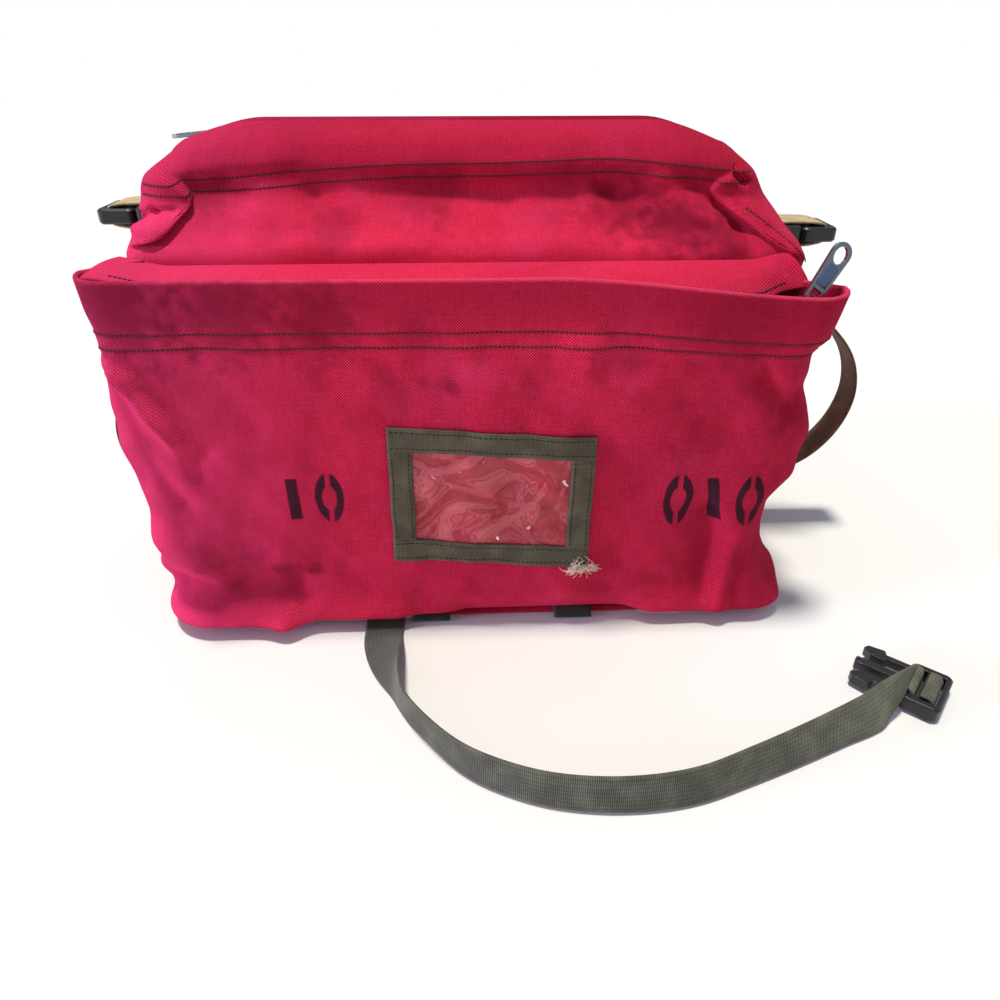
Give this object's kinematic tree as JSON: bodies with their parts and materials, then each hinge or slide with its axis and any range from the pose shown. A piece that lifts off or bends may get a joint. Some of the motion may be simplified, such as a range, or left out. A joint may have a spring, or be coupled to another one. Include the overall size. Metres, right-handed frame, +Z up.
{
  "type": "canvas backpack",
  "caption": "Boxy canvas backpack with a zipped top, a wraparound front pocket with a clear name window, side compression buckles and a loose webbing belt.",
  "frame": {"origin": "on the floor under the middle of the base panel", "axes": "+Z up, front pocket towards -Y, +X to the right as seen from the front"},
  "size_m": [0.5336, 0.3543, 0.292],
  "materials": {
    "canvas": "crimson plain-weave canvas, matt",
    "belt_webbing": "olive-grey ribbed webbing",
    "tan_webbing": "pale tan webbing",
    "brown_webbing": "dark brown webbing",
    "window_tape": "olive binding tape with two stitch rows",
    "zip_tape": "dark red zip tape",
    "vinyl": "clear flexible sheet, wavy gloss",
    "buckle_plastic": "black moulded plastic",
    "zip_metal": "silver zip metal with a blue-grey sunk face"
  },
  "bodies": {
    "bag": {"base_panel": "canvas", "main_wall": "canvas", "main_side_left": "canvas", "main_side_right": "canvas", "main_back": "canvas", "main_zip_tape": "zip_tape", "main_zip_slider": "zip_metal", "pocket_wall": "canvas", "pocket_strip": "canvas", "pocket_zip_tape": "zip_tape", "pocket_zip_slider": "zip_metal", "window_sheet": "vinyl", "window_tape_top": "window_tape", "window_tape_bottom": "window_tape", "window_tape_left": "window_tape", "window_tape_right": "window_tape", "side_buckle_toothed_right": "buckle_plastic", "side_buckle_sleeve_right": "buckle_plastic", "side_tab_right": "tan_webbing", "side_strap_right": "brown_webbing", "side_buckle_toothed_left": "buckle_plastic", "side_buckle_sleeve_left": "buckle_plastic", "side_tab_left": "tan_webbing", "side_strap_left": "brown_webbing", "belt_strap": "belt_webbing", "belt_buckle_toothed": "buckle_plastic", "lash_tab_left": "belt_webbing", "lash_tab_right": "belt_webbing"},
    "pocket_pull": {"pocket_zip_pull": "zip_metal"},
    "main_pull": {"main_zip_pull": "zip_metal"}
  },
  "joints": [
    {"name": "pocket_pull_swing", "type": "hinge", "parent": "bag", "child": "pocket_pull", "pos_m": [0.19218, -0.084, 0.2092], "axis": [0.8192, 0, -0.5736], "range_deg": [-15, 60]},
    {"name": "main_pull_swing", "type": "hinge", "parent": "bag", "child": "main_pull", "pos_m": [-0.14113, 0.0245, 0.28583], "axis": [0, 1, 0], "range_deg": [0, 140]}
  ]
}
